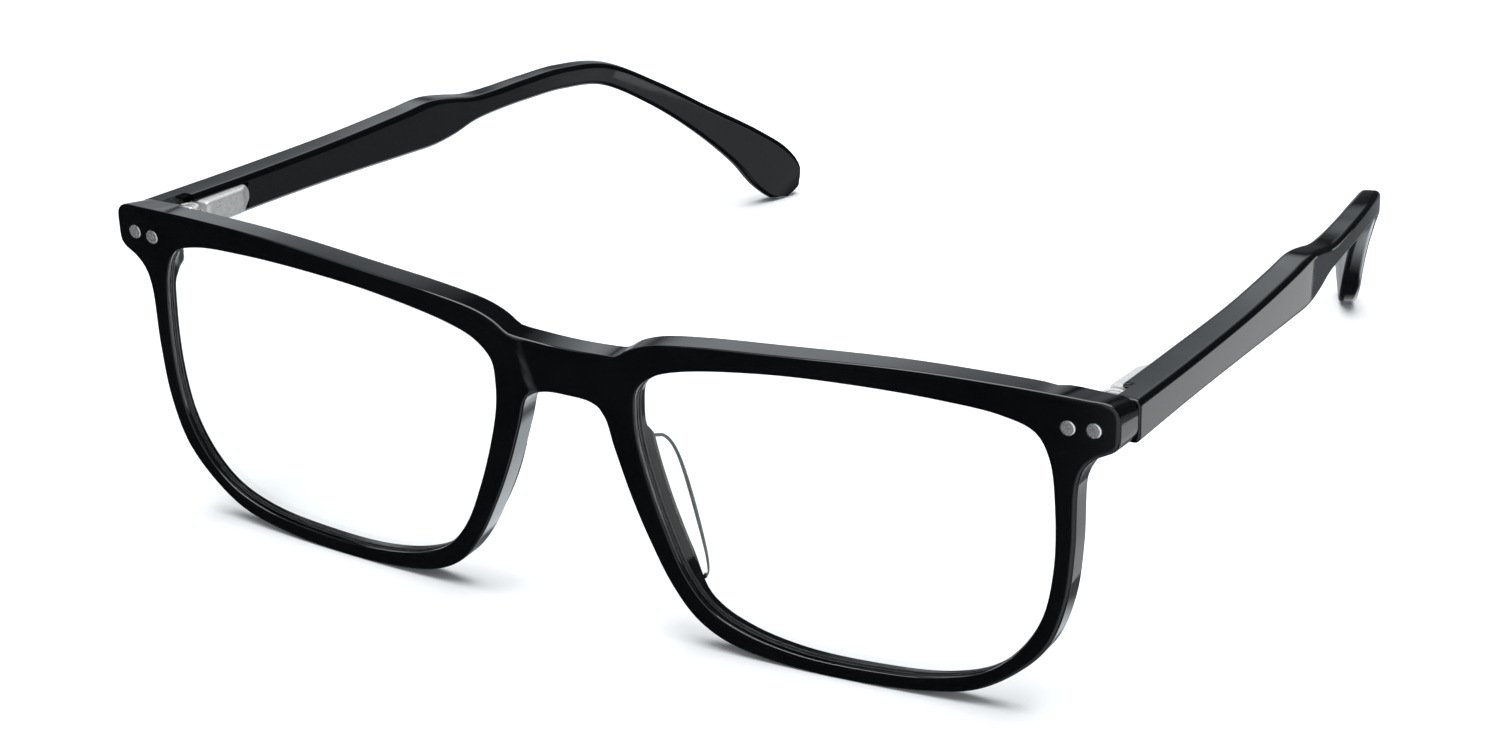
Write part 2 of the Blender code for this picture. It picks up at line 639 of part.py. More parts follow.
def temple(side, name, pivot):
    bm = loft(temple_rings())
    stand_flat(bm)
    thing = add_object(f"temple_{name}", bm, BLACK, side, pivot)
    half = CASE_HALF_HEIGHT + POCKET_GAP
    pocket = block((-PAST, -half, -PAST), (CASE_OUTER + POCKET_GAP, half, CASE_END + POCKET_GAP), along_temple())
    add_boolean(thing, "pocket", pocket, "DIFFERENCE", side)
    tongue = block((-PAST, -PAST, -PAST), (CASE_OUTER + TONGUE_GAP, CASE_START - POCKET_GAP, PAST), at_pin(side))
    add_boolean(thing, "tongue", tongue, "DIFFERENCE", side)
    add_boolean(thing, "channel", tube_along(core_path(), CORE_CHANNEL, 8), "DIFFERENCE", side)
    wire = tube_along(core_path()[1:-1], CORE_RADIUS, 8)
    add_object(f"core_wire_{name}", wire, BRIGHT, side, pivot)


# ---------------------------------------------------------------- assembly

def main():
    for thing in list(bpy.data.objects):
        bpy.data.objects.remove(thing, do_unlink=True)
    front_frame()
    for side, name in ((1, "left"), (-1, "right")):
        pivot = add_pivot(f"hinge_axis_{name}", side)
        lens(side, name)
        nose_pad(side, name)
        hinge_plate(side, name)
        rivets(side, name)
        hinge_screw(side, name, pivot)
        hinge_slider(side, name, pivot)
        coil_spring(side, name, pivot)
        slider_stop(side, name, pivot)
        spring_case(side, name, pivot)
        temple(side, name, pivot)


main()
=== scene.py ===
"""Eyeglasses, the looks: finely rounded black acetate, clear lenses and pads, satin steel hinges.

The shapes are drawn in the CAD part's design frame, in millimetres: X to the wearer's left, Y back along
the temples, Z up.  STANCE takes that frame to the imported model, from the place of the left hinge pin.
"""
import json
import math

import bmesh
import bpy
import numpy as np
from mathutils import Matrix, Vector
from mathutils.geometry import delaunay_2d_cdt


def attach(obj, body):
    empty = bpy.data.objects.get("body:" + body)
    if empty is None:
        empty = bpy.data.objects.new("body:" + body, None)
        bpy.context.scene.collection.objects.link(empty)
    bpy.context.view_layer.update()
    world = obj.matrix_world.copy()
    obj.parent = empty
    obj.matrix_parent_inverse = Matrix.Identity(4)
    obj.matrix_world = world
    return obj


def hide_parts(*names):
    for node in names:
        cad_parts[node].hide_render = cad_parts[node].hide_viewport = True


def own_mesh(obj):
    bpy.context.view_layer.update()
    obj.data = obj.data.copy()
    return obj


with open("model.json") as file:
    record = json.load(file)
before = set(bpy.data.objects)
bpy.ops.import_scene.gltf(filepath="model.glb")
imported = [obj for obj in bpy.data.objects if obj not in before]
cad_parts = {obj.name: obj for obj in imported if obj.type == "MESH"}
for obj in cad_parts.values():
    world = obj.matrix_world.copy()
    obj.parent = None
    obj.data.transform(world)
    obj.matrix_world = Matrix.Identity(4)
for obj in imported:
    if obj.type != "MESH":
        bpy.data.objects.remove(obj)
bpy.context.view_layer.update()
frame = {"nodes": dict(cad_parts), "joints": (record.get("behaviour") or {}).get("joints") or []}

JOINTS = {joint["name"]: joint for joint in frame["joints"]}
MM = 0.001

# The hinge pin in the design frame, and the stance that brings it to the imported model's pin
PIN = (64.4, 12.6, 16.15)
RIGHT_PIN_LEAN = math.radians(4.0)
PIN_PLACE = Vector(JOINTS["fold_left"]["pos_m"])
PIN_AXIS = Vector(JOINTS["fold_left"]["axis"])
STANCE = (Matrix.Translation(PIN_PLACE) @ Matrix.Rotation(math.atan2(-PIN_AXIS.y, PIN_AXIS.z), 4, "X")
          @ Matrix.Scale(MM, 4) @ Matrix.Translation(-Vector(PIN)))

# Camera, in the design frame
CAMERA_TARGET = (25.32, 0.0, 17.37)
CAMERA_AZIMUTH = math.radians(30.64)
CAMERA_ELEVATION = math.radians(25.08)
CAMERA_ROLL = math.radians(-2.21)
CAMERA_DISTANCE = 396.9
CAMERA_LENS = 84.35

# What reflections see of the studio, left and right as the camera has them: each glow's radiance, and
# its fades from dark to bright along an axis of the direction
STUDIO_COLOUR = (0.88, 0.95, 1.0, 1.0)
STUDIO_BASE = 0.03
STUDIO = {
    "backdrop": (1.5, [("Z", 0.60, 0.32), ("Z", 0.14, 0.40), ("Y", 0.0, 0.5), ("X", 0.15, -0.5)]),
    "horizon": (0.4, [("Z", -0.6, -0.3), ("Z", 0.25, 0.0), ("Y", 0.4, 0.8), ("X", -0.3, -0.45)]),
    "table": (0.2, [("Z", -0.15, -0.35), ("Y", 0.3, 0.7)]),
    "table under the bridge": (1.8, [("Z", -0.57, -0.615), ("X", 0.3, 0.18), ("X", -0.22, -0.1),
                                     ("Y", 0.3, 0.7)]),
    "right side": (0.6, [("X", 0.6, 0.85), ("Z", -0.1, -0.35)]),
    "front right": (1.0, [("X", -0.18, 0.0), ("Y", -0.2, -0.6)]),
    "overhead": (1.6, [("Z", 0.72, 0.9)]),
}

# Front: the face's arc, the thickness, the roundings, the end pieces and the hollow at the bridge
FACE_SLOPE = 0.0019
FACE_START = -0.4
FACE_CURVE = 0.00096
RIM_THICKNESS = 3.35
RIM_THINNING = 0.4
THINNING_X = (30.0, 58.0)
EDGE_ROUND = 0.32
BACK_ROUND = 0.2
LIP_ROUND = 0.22
ROUND_STEPS = 5
SUPPORT = 0.22
RIM_CENTRE_X = 35.6
END_PIECE_BACK = 9.18
END_PIECE_START = 60.6
END_PIECE_FULL = 62.4
END_PIECE_LOW = (10.5, 13.0)
DROOP_START = 58.6
DROOP_LOW = (11.0, 13.5)
DROOP_RISE = (15.0, 20.0)
END_TOP_DROOP = 0.24
END_BOTTOM_DROOP = 0.10
BRIDGE_SCOOP = 0.8
SCOOP_POWER = 3.0
CREASE_TOP = (7.4, 16.2)
CREASE_BOTTOM = (5.2, 8.4)
OUTLINE_STEP = 0.75
GRID_STEP = 0.85
END_GRID_STEP = 0.45
END_GRID_X = 59.0
END_GRID_Z = 9.0
GRID_SIDE = 70.0
GRID_LOW = -21.5
GRID_HIGH = 22.5
# Half of the outline, from the bridge's top round to its underside.
OUTER_HALF = [(0.0, 15.4), (4.2, 15.6), (7.4, 16.2), (9.3, 17.4), (12.0, 18.4), (18.0, 19.3),
              (28.0, 20.1), (44.0, 21.1), (56.0, 21.1), (65.4, 20.7), (67.8, 20.5), (68.8, 19.7),
              (69.0, 17.5), (68.8, 15.4), (68.0, 14.6), (66.6, 13.9), (65.1, 12.5), (64.3, 10.3),
              (63.9, 2.0), (63.0, -5.0), (60.8, -10.9), (57.0, -15.0), (52.0, -18.1), (45.5, -19.5),
              (36.5, -20.1), (27.0, -19.7), (20.5, -18.4), (16.6, -16.1), (13.6, -12.4),
              (10.8, -7.0), (8.5, -1.5), (6.6, 4.2), (5.2, 8.4), (3.4, 9.15), (0.0, 9.3)]
LENS_OPENING = [(9.7, 9.4), (10.1, 12.3), (12.2, 14.4), (16.0, 15.8), (27.0, 17.5), (38.0, 18.1),
                (48.0, 18.0), (55.5, 17.3), (59.3, 15.9), (60.9, 13.0), (61.6, 6.5), (61.4, -1.0),
                (60.1, -7.2), (57.4, -11.9), (53.6, -15.3), (48.0, -17.3), (39.0, -18.2),
                (30.0, -18.1), (23.0, -16.7), (18.7, -14.6), (15.6, -10.9), (13.0, -5.0),
                (11.0, 1.2), (9.9, 6.0)]

# Lens groove and lens
GROOVE_MIDDLE = 1.5
GROOVE_MOUTH = 0.9
GROOVE_FLOOR = 0.25
GROOVE_DEPTH = 1.3
LENS_CLEARANCE = 0.08
LENS_HALF = 0.8
BEVEL_ROOT = 0.5
BEVEL_TIP = 0.12
BEVEL_REACH = 0.95
LENS_DOME = 1.2
LENS_RINGS = 14
LENS_MIDDLE = 0.03

# Nose side of the rims, and the clear pads
BUILD_UP = 1.3
BUILD_UP_TOP = (7.2, 5.0)
BUILD_UP_BOTTOM = (-9.0, -14.0)
BUILD_UP_SIDE = 19.0
PAD_TOP = 4.4
PAD_HEIGHT = 17.2
PAD_ROOT_X = 8.5
PAD_LEAN = 0.24
PAD_BEND = 0.0095
PAD_REACH = 3.3
PAD_STANDOFF = 1.65
PAD_ROOT_DEPTH = 1.5
PAD_HALF = 0.85
PAD_SPLAY = math.radians(28.0)
PAD_SECTIONS = 44
PAD_HIGH_POINT = 0.55
PAD_END_REACH = 0.3
PAD_END_WIDTH = 0.6
PAD_ROUND_STEPS = 12
# First step of the pad's rear round that is painted dark grey, a painted dark reflection of the frame
PAD_PAINTED_DARK_EDGE_START = 5

# Hinge
KNUCKLE_RADIUS = 1.5
KNUCKLE_BORE = 0.6
KNUCKLE_END = 1.5
EYE_HALF_HEIGHT = 0.6
EYE_INSET = 0.06
KNUCKLE_GAP = 0.06
WEB_HALF = 0.9
WEB_ROOT = 0.4
KNUCKLE_STEPS = 28
PLATE_FRONT = 8.1
PLATE_BACK = 9.12
PLATE_INNER = 61.4
PLATE_OUTER = 67.3
PLATE_LOW = 14.5
PLATE_HIGH = 18.3
PLATE_GAP = 0.04
SCREW_RADIUS = 0.55
SCREW_END_GAP = 0.02
HEAD_RADIUS = 0.95
HEAD_GAP = 0.05
HEAD_DEPTH = 0.5
HEAD_SEAT = 0.6
SLOT_HALF = 0.13
SLOT_DEPTH = 0.22
RIVET_RADIUS = 0.9
RIVET_HOLE = 0.93
RIVET_DOME = 0.07
RIVET_PROUD = 0.03
RIVET_PAST_PLATE = 0.02
RIVET_EDGE = 0.06
RIVETS = {"inner": (63.1, 17.1), "outer": (66.05, 17.2)}
PITCH = math.radians(6.5)
CASE_START = 2.0
CASE_END = 12.3
CASE_OUTER = 1.45
CASE_INNER = -1.45
CASE_HALF_HEIGHT = 1.65
CASE_ROUND = 1.5
CASE_REAR = 0.3
CASE_SECTIONS = 34
CASE_EDGE = 0.38
CASE_TAPER = 1.3
CASE_TAPER_START = 9.0
CHAMBER_START = 3.2
CHAMBER_END = 9.6
CHAMBER_HALF = 1.08
ROD_START = 1.0
ROD_RADIUS = 0.45
ROD_BORE = 0.62
SPRING_START = 3.45
SPRING_END = 8.2
SPRING_RADIUS = 0.8
SPRING_WIRE = 0.16
SPRING_TURNS = 5
STEPS_PER_TURN = 24
WIRE_SIDES = 10
STOP_GAP = 0.05
STOP_LENGTH = 0.9
METAL_EDGE = 0.1
PIN_SIDES = 28
HOLE_SIDES = 32
HOLE_EDGE = 0.03
HOLE_START = 7.0
HOLE_END = 10.0

# How far a cutter reaches past the piece that it cuts
PAST = 4.0

# Temple stations: Y, X, Z, height and thickness of the section
TEMPLE_STATIONS = [(9.3, 67.0, 16.5, 5.2, 4.3), (26.0, 66.5, 14.7, 4.9, 4.3),
                   (46.0, 65.9, 12.45, 5.3, 4.0), (60.0, 65.3, 11.0, 6.2, 3.9),
                   (66.0, 65.0, 10.45, 6.6, 3.8), (70.6, 64.65, 9.9, 5.5, 3.6),
                   (75.0, 64.3, 9.5, 3.8, 3.4), (80.0, 63.9, 9.05, 3.2, 3.3),
                   (88.0, 63.1, 8.35, 3.2, 3.1), (96.0, 62.0, 7.45, 3.3, 3.0),
                   (104.5, 60.1, 5.4, 3.3, 2.8), (113.0, 56.6, -0.1, 3.6, 2.7),
                   (120.6, 53.0, -6.4, 4.5, 2.7), (127.7, 49.6, -12.9, 6.5, 2.8),
                   (131.6, 47.6, -17.4, 7.9, 2.8), (133.9, 46.4, -20.4, 6.6, 2.4),
                   (134.8, 45.9, -21.8, 3.6, 1.6)]
TEMPLE_ROUND = 0.75
TEMPLE_STEP = 0.9
TEMPLE_END_ROUND = 0.3
TEMPLE_END_STEPS = 4
TIP_ROUND = 0.7
TIP_STEPS = 6
CORNER_STEPS = 6
POCKET_GAP = 0.08
TONGUE_SIDE_GAP = 0.35
TONGUE_BACK_GAP = 0.1


# ---------------------------------------------------------------- curves and functions

def smoothstep(value, start, end):
    """0 before start, 1 after end, smooth between (end may be below start)."""
    t = min(max((value - start) / (end - start), 0.0), 1.0)
    return t * t * (3.0 - 2.0 * t)


def spline_point(rows, index, t, closed):
    """A point of the Catmull-Rom curve through rows, between rows index and index + 1."""
    count = len(rows)

    def row(i):
        return rows[i % count] if closed else rows[min(max(i, 0), count - 1)]

    p0, p1, p2, p3 = row(index - 1), row(index), row(index + 1), row(index + 2)
    d = [math.dist(a[:2], b[:2]) ** 0.5 or 1.0 for a, b in ((p0, p1), (p1, p2), (p2, p3))]
    point = []
    for a, b, c, e in zip(p0, p1, p2, p3):
        m1 = (c - b) + d[1] * ((b - a) / d[0] - (c - a) / (d[0] + d[1]))
        m2 = (c - b) + d[1] * ((e - c) / d[2] - (e - b) / (d[1] + d[2]))
        point.append((2 * (b - c) + m1 + m2) * t ** 3 + (3 * (c - b) - 2 * m1 - m2) * t ** 2 + m1 * t + b)
    return tuple(point)


def sample_curve(rows, step, closed=True):
    """Points along the curve through rows, each span cut into equal steps of about step."""
    points = []
    spans = len(rows) if closed else len(rows) - 1
    for index in range(spans):
        length = math.dist(rows[index][:2], rows[(index + 1) % len(rows)][:2])
        cuts = max(1, round(length / step))
        points += [spline_point(rows, index, k / cuts, closed) for k in range(cuts)]
    if not closed:
        points.append(rows[-1])
    return points


def offset_loop(loop, distance):
    """The loop moved outward by distance; it runs clockwise."""
    moved = []
    count = len(loop)
    for i, (x, z) in enumerate(loop):
        before, after = loop[i - 1], loop[(i + 1) % count]
        direction = Vector((after[0] - before[0], after[1] - before[1])).normalized()
        moved.append((x - direction.y * distance, z + direction.x * distance))
    return moved


def inside(points, loop):
    """For each row of points, True if it is inside the closed loop."""
    x, z = points[:, 0:1], points[:, 1:2]
    a = np.array(loop)
    b = np.roll(a, -1, axis=0)
    crosses = (a[:, 1] > z) != (b[:, 1] > z)
    rise = np.where(a[:, 1] == b[:, 1], 1.0, b[:, 1] - a[:, 1])
    hits = crosses & (x < (b[:, 0] - a[:, 0]) * (z - a[:, 1]) / rise + a[:, 0])
    return hits.sum(axis=1) % 2 == 1


def between(points, loops):
    """For each row of points, True if it is inside the first loop and outside the others."""
    keep = inside(points, loops[0])
    for hole in loops[1:]:
        keep &= ~inside(points, hole)
    return keep


def nearest(points, loop):
    """Distance from each row of points to the nearest point of the loop."""
    gaps = points[:, None, :] - np.array(loop)[None, :, :]
    return np.sqrt((gaps ** 2).sum(axis=2)).min(axis=1)


def circle(radius, steps):
    """Points round a circle, clockwise."""
    angles = [-2.0 * math.pi * k / steps for k in range(steps)]
    return [(radius * math.cos(a), radius * math.sin(a)) for a in angles]


# ---------------------------------------------------------------- mesh helpers

def bridge(bm, ring_a, ring_b):
    """Quads between two closed rings of the same length."""
    count = len(ring_a)
    for i in range(count):
        j = (i + 1) % count
        bm.faces.new((ring_a[i], ring_a[j], ring_b[j], ring_b[i]))


def loft(rings, closed=False):
    """A body through rings of points; open ends are closed with a face, or the rings join end to end."""
    bm = bmesh.new()
    made = [[bm.verts.new(p) for p in ring] for ring in rings]
    for ring_a, ring_b in zip(made, made[1:]):
        bridge(bm, ring_a, ring_b)
    if closed:
        bridge(bm, made[-1], made[0])
    else:
        bm.faces.new(made[0])
        bm.faces.new(made[-1])
    return bm


def turned(profile, matrix, sides=48, closed=False):
    """A turned body: profile holds (radius, height) pairs, and matrix places the Z axis."""
    rings = []
    for radius, height in profile:
        rings.append([matrix @ Vector((x, y, height)) for x, y in circle(radius, sides)])
    return loft(rings, closed)


def block(low, high, matrix=Matrix.Identity(4), edge=0.0):
    """A box from its low corner to its high corner, with its edges rounded."""
    bm = bmesh.new()
    bmesh.ops.create_cube(bm, size=1.0)
    for vert in bm.verts:
        vert.co = [a + (b - a) * (c + 0.5) for a, b, c in zip(low, high, vert.co)]
    if edge:
        bmesh.ops.bevel(bm, geom=bm.edges[:], offset=edge, segments=3, profile=0.5, affect="EDGES")
    bmesh.ops.transform(bm, matrix=matrix, verts=bm.verts)
    return bm


def rounded(width_low, width_high, half_height, soft, steps=CORNER_STEPS):
    """A rectangle with round corners, from width_low to width_high and plus or minus half_height."""
    corners = [(width_high - soft, half_height - soft), (width_low + soft, half_height - soft),
               (width_low + soft, soft - half_height), (width_high - soft, soft - half_height)]
    outline = []
    for corner, (x, z) in enumerate(corners):
        for k in range(steps + 1):
            angle = math.pi * 0.5 * (corner + k / steps)
            outline.append((x + soft * math.cos(angle), z + soft * math.sin(angle)))
    return outline


def along_y(x, y, z):
    """A frame at the point whose Z axis runs back along the design's Y."""
    return Matrix.Translation((x, y, z)) @ Matrix.Rotation(-math.pi / 2.0, 4, "X")


def at_pin(side):
    """A frame on the hinge pin of that side, with Z along it."""
    lean = RIGHT_PIN_LEAN if side < 0 else 0.0
    return Matrix.Translation(PIN) @ Matrix.Rotation(lean, 4, "Y")


def along_temple():
    """A frame on the pin, whose Z axis runs back along the temple and whose X axis is the part's X."""
    return Matrix.Translation(PIN) @ Matrix.Rotation(-math.pi / 2.0 - PITCH, 4, "X")


def draft(name, bm):
    """An object in the design frame, with its faces pointing out."""
    bmesh.ops.recalc_face_normals(bm, faces=bm.faces)
    if bm.calc_volume(signed=True) < 0.0:
        bmesh.ops.reverse_faces(bm, faces=bm.faces)
    mesh = bpy.data.meshes.new(name)
    bm.to_mesh(mesh)
    bm.free()
    thing = bpy.data.objects.new(name, mesh)
    bpy.context.scene.collection.objects.link(thing)
    return thing


def combine(thing, bm, operation):
    """Cuts the shape bm from thing, or joins it on, and keeps the result as thing's own mesh."""
    tool = draft("tool", bm)
    modifier = thing.modifiers.new("combine", "BOOLEAN")
    modifier.operation = operation
    modifier.solver = "MANIFOLD"
    modifier.object = tool
    bpy.context.view_layer.update()
    result = bpy.data.meshes.new_from_object(thing.evaluated_get(bpy.context.evaluated_depsgraph_get()))
    result.materials.clear()
    thing.modifiers.clear()
    thing.data = result
    bpy.data.objects.remove(tool)


def settle(thing, side, finish, body, nodes, sharp=35.0):
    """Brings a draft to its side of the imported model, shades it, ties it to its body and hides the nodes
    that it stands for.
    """
    bm = bmesh.new()
    bm.from_mesh(thing.data)
    bmesh.ops.transform(bm, matrix=STANCE @ Matrix.Diagonal((side, 1.0, 1.0, 1.0)), verts=bm.verts)
    bmesh.ops.remove_doubles(bm, verts=bm.verts, dist=1e-7)
    bmesh.ops.recalc_face_normals(bm, faces=bm.faces)
    for vert in bm.verts:
        vert.co.z = max(vert.co.z, 0.0)
    bm.to_mesh(thing.data)
    bm.free()
    thing.data.materials.append(finish)
    thing.data.shade_smooth()
    thing.data.set_sharp_from_angle(angle=math.radians(sharp))
    thing.modifiers.new("flat faces stay flat", "WEIGHTED_NORMAL").keep_sharp = True
    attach(thing, body)
    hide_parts(*nodes)
    return thing


# ---------------------------------------------------------------- materials

class Nodes:
    """A material's node tree, with short ways to add what the finishes share."""

    def __init__(self, name):
        self.material = bpy.data.materials.new(name)
        self.material.use_nodes = True
        self.tree = self.material.node_tree
        self.shader = self.tree.nodes["Principled BSDF"]
        self.place = self.add("ShaderNodeTexCoord").outputs["Object"]

    def add(self, kind, **values):
        node = self.tree.nodes.new(kind)
        for key, value in values.items():
            if key in node.inputs:
                node.inputs[key].default_value = value
            else:
                setattr(node, key, value)
        return node

    def link(self, source, target):
        self.tree.links.new(source, target)

    def stretched(self, scale):
        """Object coordinates stretched along an axis, for a brushed grain."""
        mapping = self.add("ShaderNodeMapping")
        mapping.inputs["Scale"].default_value = scale
        self.link(self.place, mapping.inputs["Vector"])
        return mapping.outputs["Vector"]

    def noise(self, scale, detail=2.0, vector=None):
        node = self.add("ShaderNodeTexNoise", Scale=scale, Detail=detail)
        self.link(vector or self.place, node.inputs["Vector"])
        return node.outputs["Fac"]

    def between(self, source, low, high, start=0.3, end=0.7):
        """The source's range start to end, mapped to low to high."""
        node = self.add("ShaderNodeMapRange")
        for name, value in (("From Min", start), ("From Max", end), ("To Min", low), ("To Max", high)):
            node.inputs[name].default_value = value
        self.link(source, node.inputs["Value"])
        return node.outputs["Result"]

    def tinted(self, source, dark, light):
        """A colour that runs from dark to light with the source."""
        node = self.add("ShaderNodeValToRGB")
        node.color_ramp.elements[0].position = 0.3
        node.color_ramp.elements[0].color = (*dark, 1.0)
        node.color_ramp.elements[1].position = 0.7
        node.color_ramp.elements[1].color = (*light, 1.0)
        self.link(source, node.inputs["Fac"])
        return node.outputs["Color"]

    def bump(self, source, strength, distance, after=None):
        node = self.add("ShaderNodeBump", Strength=strength, Distance=distance)
        self.link(source, node.inputs["Height"])
        if after:
            self.link(after, node.inputs["Normal"])
        return node.outputs["Normal"]

    def wire(self, **sockets):
        """Links or sets the shader's sockets; an underscore in a name stands for a space."""
        for name, value in sockets.items():
            socket = self.shader.inputs[name.replace("_", " ")]
            if isinstance(value, bpy.types.NodeSocket):
                self.link(value, socket)
            else:
                socket.default_value = value


def acetate_finish():
    """Polished black acetate: a faint cloudiness, a soft ripple from the polishing wheel, fine wear."""
    nodes = Nodes("acetate")
    cloud = nodes.noise(90.0, 3.0)
    wear = nodes.noise(900.0, 6.0)
    ripple = nodes.bump(nodes.noise(160.0, 1.0), 0.05, 0.0002)
    nodes.wire(Base_Color=nodes.tinted(cloud, (0.0012, 0.0014, 0.0018), (0.0026, 0.0029, 0.0036)),
               Roughness=nodes.between(wear, 0.035, 0.085), IOR=1.49,
               Normal=nodes.bump(nodes.noise(2600.0, 3.0), 0.02, 0.00002, ripple))
    return nodes.material


def lens_finish():
    """Clear coated lens with the faintest unevenness of its hard coat."""
    nodes = Nodes("lens_clear")
    nodes.wire(Base_Color=(0.985, 0.995, 0.99, 1.0), Transmission_Weight=1.0, IOR=1.5,
               Roughness=nodes.between(nodes.noise(220.0, 2.0), 0.0, 0.012),
               Normal=nodes.bump(nodes.noise(70.0, 1.0), 0.01, 0.0002))
    return nodes.material


def lens_edge_painted_shade_finish():
    """The ground edge of a lens, which sits in the groove, painted dark grey: painted shade of the black
    groove round it.
    """
    nodes = Nodes("lens_edge_painted_shade")
    nodes.wire(Base_Color=nodes.tinted(nodes.noise(2500.0, 3.0), (0.01, 0.011, 0.012), (0.03, 0.032, 0.034)),
               Roughness=0.5)
    return nodes.material


def pad_finish():
    """Clear acetate of the nose pads, tumbled and a little softer than the lens."""
    nodes = Nodes("pad_clear")
    nodes.wire(Base_Color=(0.93, 0.95, 0.96, 1.0), Transmission_Weight=1.0, IOR=1.49,
               Roughness=nodes.between(nodes.noise(500.0, 3.0), 0.03, 0.09),
               Normal=nodes.bump(nodes.noise(700.0, 2.0), 0.05, 0.0001))
    return nodes.material


def pad_painted_dark_edge_finish():
    """The pad's rear edge, painted dark grey: a painted dark reflection of the frame, which the clear round
    edge would bend in.
    """
    nodes = Nodes("pad_painted_dark_edge")
    nodes.wire(Base_Color=nodes.tinted(nodes.noise(900.0, 3.0), (0.02, 0.024, 0.028), (0.05, 0.056, 0.062)),
               Roughness=0.3)
    return nodes.material


def steel_finish(name, colour, metallic, low, high, grain, strength):
    """Satin steel: a fine grain along one axis, with smudges of more and less polish."""
    nodes = Nodes(name)
    lines = nodes.noise(1.0, 4.0, nodes.stretched(grain))
    smudge = nodes.noise(1400.0, 3.0)
    dark = tuple(0.86 * c for c in colour)
    nodes.wire(Base_Color=nodes.tinted(smudge, dark, colour), Metallic=metallic,
               Roughness=nodes.between(lines, low, high),
               Normal=nodes.bump(lines, strength, 0.00003))
    return nodes.material


ACETATE = acetate_finish()
LENS = lens_finish()
LENS_EDGE_PAINTED_SHADE = lens_edge_painted_shade_finish()
PAD = pad_finish()
PAD_PAINTED_DARK_EDGE = pad_painted_dark_edge_finish()
SATIN = steel_finish("steel_satin", (0.86, 0.85, 0.83), 0.66, 0.26, 0.42, (9000.0, 1500.0, 9000.0), 0.25)
HEADS = steel_finish("steel_heads", (0.95, 0.95, 0.95), 0.86, 0.18, 0.3, (5000.0, 5000.0, 5000.0), 0.3)
BRIGHT = steel_finish("steel_bright", (0.78, 0.78, 0.78), 0.66, 0.12, 0.24, (4000.0, 4000.0, 9000.0), 0.12)


# ---------------------------------------------------------------- front

def crease_x(z):
    """Half width of the bridge's hollow face at the height z."""
    t = (z - CREASE_BOTTOM[1]) / (CREASE_TOP[1] - CREASE_BOTTOM[1])
    return CREASE_BOTTOM[0] + t * (CREASE_TOP[0] - CREASE_BOTTOM[0])


def arc_y(x):
    """The plain arc of the front, seen from above."""
    return FACE_START + FACE_SLOPE * abs(x) + FACE_CURVE * x * x


def hollow(x, z):
    """How far the bridge's face and back are set back from the plain arc."""
    x = abs(x)
    if z < CREASE_BOTTOM[1] - 1.0 or x > crease_x(z):
        return 0.0
    return BRIDGE_SCOOP * (1.0 - (x / crease_x(z)) ** SCOOP_POWER)


def face_y(x, z):
    """The front surface: a shallow arc, hollowed at the bridge."""
    return arc_y(x) + hollow(x, z)


def back_y(x, z, lens_share):
    """The back surface: thicker at the end pieces and, towards the lens, at the nose."""
    y = arc_y(x) + hollow(x, z) + RIM_THICKNESS - RIM_THINNING * smoothstep(abs(x), *THINNING_X)
    end = smoothstep(abs(x), END_PIECE_START, END_PIECE_FULL) * smoothstep(z, *END_PIECE_LOW)
    y += (END_PIECE_BACK - y) * end
    if abs(x) < BUILD_UP_SIDE:
        rise = smoothstep(z, *BUILD_UP_TOP) * smoothstep(z, BUILD_UP_BOTTOM[1], BUILD_UP_BOTTOM[0])
        y += BUILD_UP * rise * lens_share
    return y


def front_point(x, z, depth, from_back, lens_share=0.0):
    """A point depth behind the front surface, or depth in front of the back surface."""
    y = back_y(x, z, lens_share) - depth if from_back else face_y(x, z) + depth
    end = smoothstep(abs(x), DROOP_START, END_PIECE_FULL) * smoothstep(z, *DROOP_LOW)
    droop = END_BOTTOM_DROOP + (END_TOP_DROOP - END_BOTTOM_DROOP) * smoothstep(z, *DROOP_RISE)
    behind = y - face_y(x, z)
    return Vector((x, y, z - droop * end * behind * behind / (END_PIECE_BACK - face_y(x, z))))


def rounding(radius, sign):
    """Offset and depth pairs that take a face into a wall through a quarter circle."""
    angles = [0.5 * math.pi * k / ROUND_STEPS for k in range(ROUND_STEPS + 1)]
    turn = [(sign * radius * (1.0 - math.sin(a)), radius * (1.0 - math.cos(a))) for a in angles]
    return [(sign * (radius + SUPPORT), 0.0)] + turn


def wall_profile(radius, sign, middle=()):
    """The rings from the front face over the wall to the back face, whose edge is a little sharper."""
    return ([(offset, depth, False) for offset, depth in rounding(radius, sign)] + list(middle)
            + [(offset, depth, True) for offset, depth in reversed(rounding(BACK_ROUND, sign))])


def grid_points(loops):
    """A triangular grid over the front between the loops, finer at the end pieces."""
    found = []
    for step, is_end in ((GRID_STEP, False), (END_GRID_STEP, True)):
        row_step = step * math.sqrt(0.75)
        rows = int((GRID_HIGH - GRID_LOW) / row_step)
        columns = int(2.0 * GRID_SIDE / step)
        cells = [((i + 0.5 * (j % 2)) * step - GRID_SIDE, j * row_step + GRID_LOW)
                 for j in range(rows) for i in range(columns)]
        cells = np.array([c for c in cells if (abs(c[0]) > END_GRID_X and c[1] > END_GRID_Z) == is_end])
        keep = between(cells, loops)
        for loop in loops:
            keep &= nearest(cells, loop) > 0.6 * step
        found.append(cells[keep])
    return np.concatenate(found)


